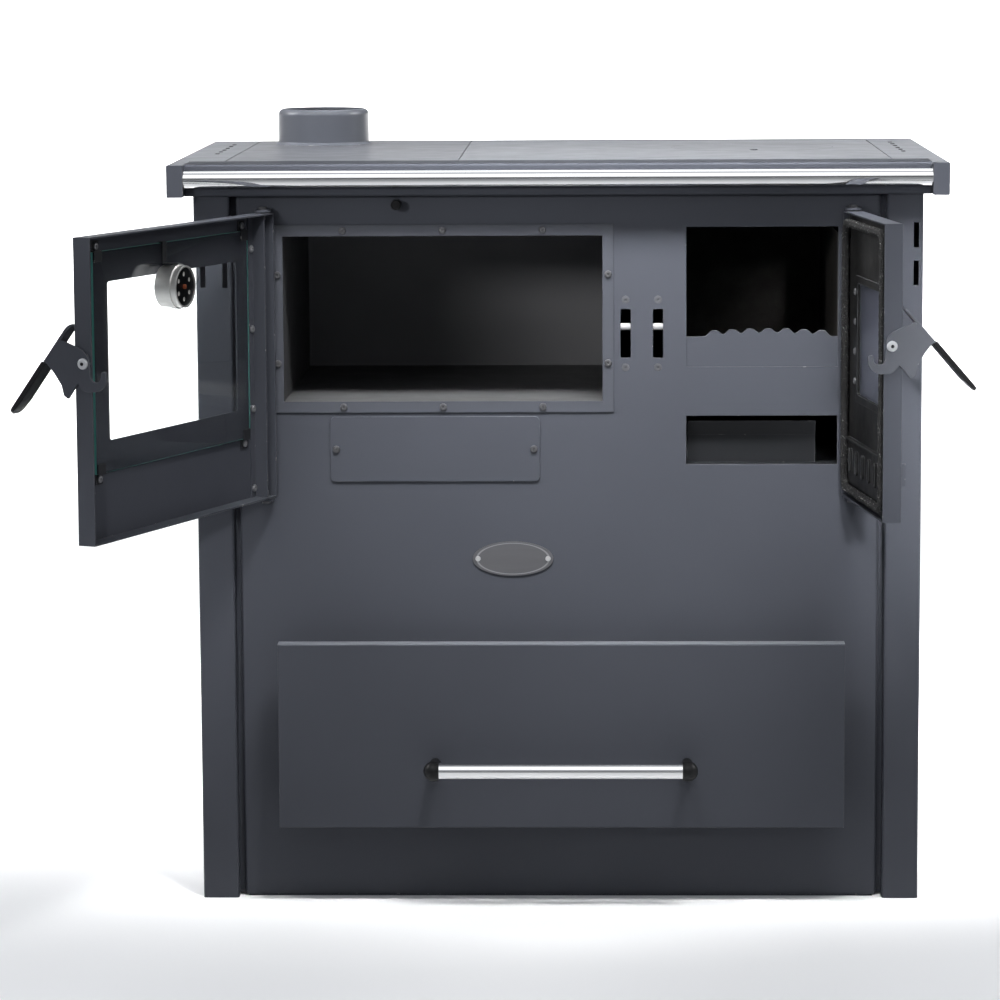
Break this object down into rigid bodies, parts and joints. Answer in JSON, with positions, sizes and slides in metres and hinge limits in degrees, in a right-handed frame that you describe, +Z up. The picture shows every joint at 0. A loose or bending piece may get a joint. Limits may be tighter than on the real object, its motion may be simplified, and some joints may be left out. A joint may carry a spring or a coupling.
{
  "type": "wood cookstove",
  "caption": "Wood-burning kitchen stove: folded steel casing, steel hob with flue collar, glazed oven and fire doors with lever latches, ash pan, wood drawer and towel rail.",
  "frame": {"origin": "on the floor, in the middle of the casing's footprint, between the bottom edges of the side panels", "axes": "+X to the right seen from the front, +Y from front to back, +Z up along the flue"},
  "size_m": [1.0582, 0.9626, 0.919],
  "materials": {
    "painted_steel": "satin",
    "hob_steel": "satin",
    "inner_steel": "matte",
    "fastener_steel": "satin",
    "chrome": "polished",
    "black_plastic": "matte",
    "cast_iron": "rough",
    "name_plate": "satin",
    "glass": "clear",
    "thermometer": "brushed",
    "rope_seal": "braided"
  },
  "bodies": {
    "stove_body": {"left_side_panel": "painted_steel", "right_side_panel": "painted_steel", "back_panel": "painted_steel", "base_panel": "painted_steel", "front_panel": "painted_steel", "rim_left_rail": "painted_steel", "rim_right_rail": "painted_steel", "rim_front_strip": "painted_steel", "rim_rear_strip": "painted_steel", "flue_collar": "painted_steel", "cleanout_cover": "painted_steel", "hinge_ears": "painted_steel", "ember_guard": "painted_steel", "hob_plate_left": "hob_steel", "hob_plate_right": "hob_steel", "oven_liner": "inner_steel", "smoke_box": "inner_steel", "damper_guides": "inner_steel", "firebox_shell": "inner_steel", "drawer_runners": "inner_steel", "latch_keeper": "inner_steel", "casing_screws": "fastener_steel", "panel_screws": "fastener_steel", "keeper_screws": "fastener_steel", "name_plate_rivets": "fastener_steel", "latch_rollers": "fastener_steel", "hinge_pins": "fastener_steel", "towel_rail": "chrome", "lining_plates": "cast_iron", "fire_grate": "cast_iron", "name_plate": "name_plate"},
    "oven_door": {"oven_door_pan": "painted_steel", "oven_door_glass": "glass", "oven_glass_clips": "inner_steel", "oven_door_strip": "painted_steel", "oven_door_screws": "fastener_steel", "thermometer_case": "thermometer", "thermometer_hanger": "inner_steel", "oven_latch_screw": "fastener_steel"},
    "oven_latch": {"oven_latch_lever": "painted_steel", "oven_latch_grip": "black_plastic"},
    "fire_door": {"fire_door_pan": "painted_steel", "fire_door_frame": "inner_steel", "fire_door_glass": "glass", "fire_glass_clips": "inner_steel", "fire_door_gasket": "rope_seal", "fire_door_screws": "fastener_steel", "air_slider_guides": "painted_steel", "fire_latch_screw": "fastener_steel"},
    "fire_latch": {"fire_latch_lever": "painted_steel", "fire_latch_grip": "black_plastic"},
    "air_slider": {"air_slider": "painted_steel"},
    "drawer": {"drawer_front": "painted_steel", "drawer_box": "painted_steel", "drawer_handle_bar": "chrome", "drawer_handle_ends": "black_plastic"},
    "ash_pan": {"ash_pan": "inner_steel"},
    "hob_lid": {"hob_lid": "hob_steel"},
    "damper": {"damper_slide": "inner_steel", "damper_knob": "black_plastic"}
  },
  "joints": [
    {"name": "oven_door_hinge", "type": "hinge", "parent": "stove_body", "child": "oven_door", "pos_m": [-0.34325, -0.273, 0.65], "axis": [0, 0, -1], "range_deg": [-112.6, 37.4]},
    {"name": "oven_latch_pivot", "type": "hinge", "parent": "oven_door", "child": "oven_latch", "pos_m": [-0.50309, -0.6614, 0.6815], "axis": [0.3843, 0.9232, 0], "range_deg": [-37, 4]},
    {"name": "fire_door_hinge", "type": "hinge", "parent": "stove_body", "child": "fire_door", "pos_m": [0.34325, -0.273, 0.65], "axis": [0, 0, 1], "range_deg": [-97.9, 42.1]},
    {"name": "fire_latch_pivot", "type": "hinge", "parent": "fire_door", "child": "fire_latch", "pos_m": [0.37235, -0.49511, 0.6815], "axis": [0.1374, -0.9905, 0], "range_deg": [-41, 0]},
    {"name": "air_slide", "type": "slide", "parent": "fire_door", "child": "air_slider", "axis": [0.1374, -0.9905, 0], "range_m": [0, 0.0175]},
    {"name": "drawer_slide", "type": "slide", "parent": "stove_body", "child": "drawer", "axis": [0, -1, 0], "range_m": [-0.033, 0.36]},
    {"name": "ash_pan_slide", "type": "slide", "parent": "stove_body", "child": "ash_pan", "axis": [0, -1, 0], "range_m": [0, 0.3]},
    {"name": "lid_lift", "type": "slide", "parent": "stove_body", "child": "hob_lid", "axis": [0, 0, 1], "range_m": [0, 0.12]},
    {"name": "damper_pull", "type": "slide", "parent": "stove_body", "child": "damper", "axis": [0, -1, 0], "range_m": [0, 0.105]}
  ]
}
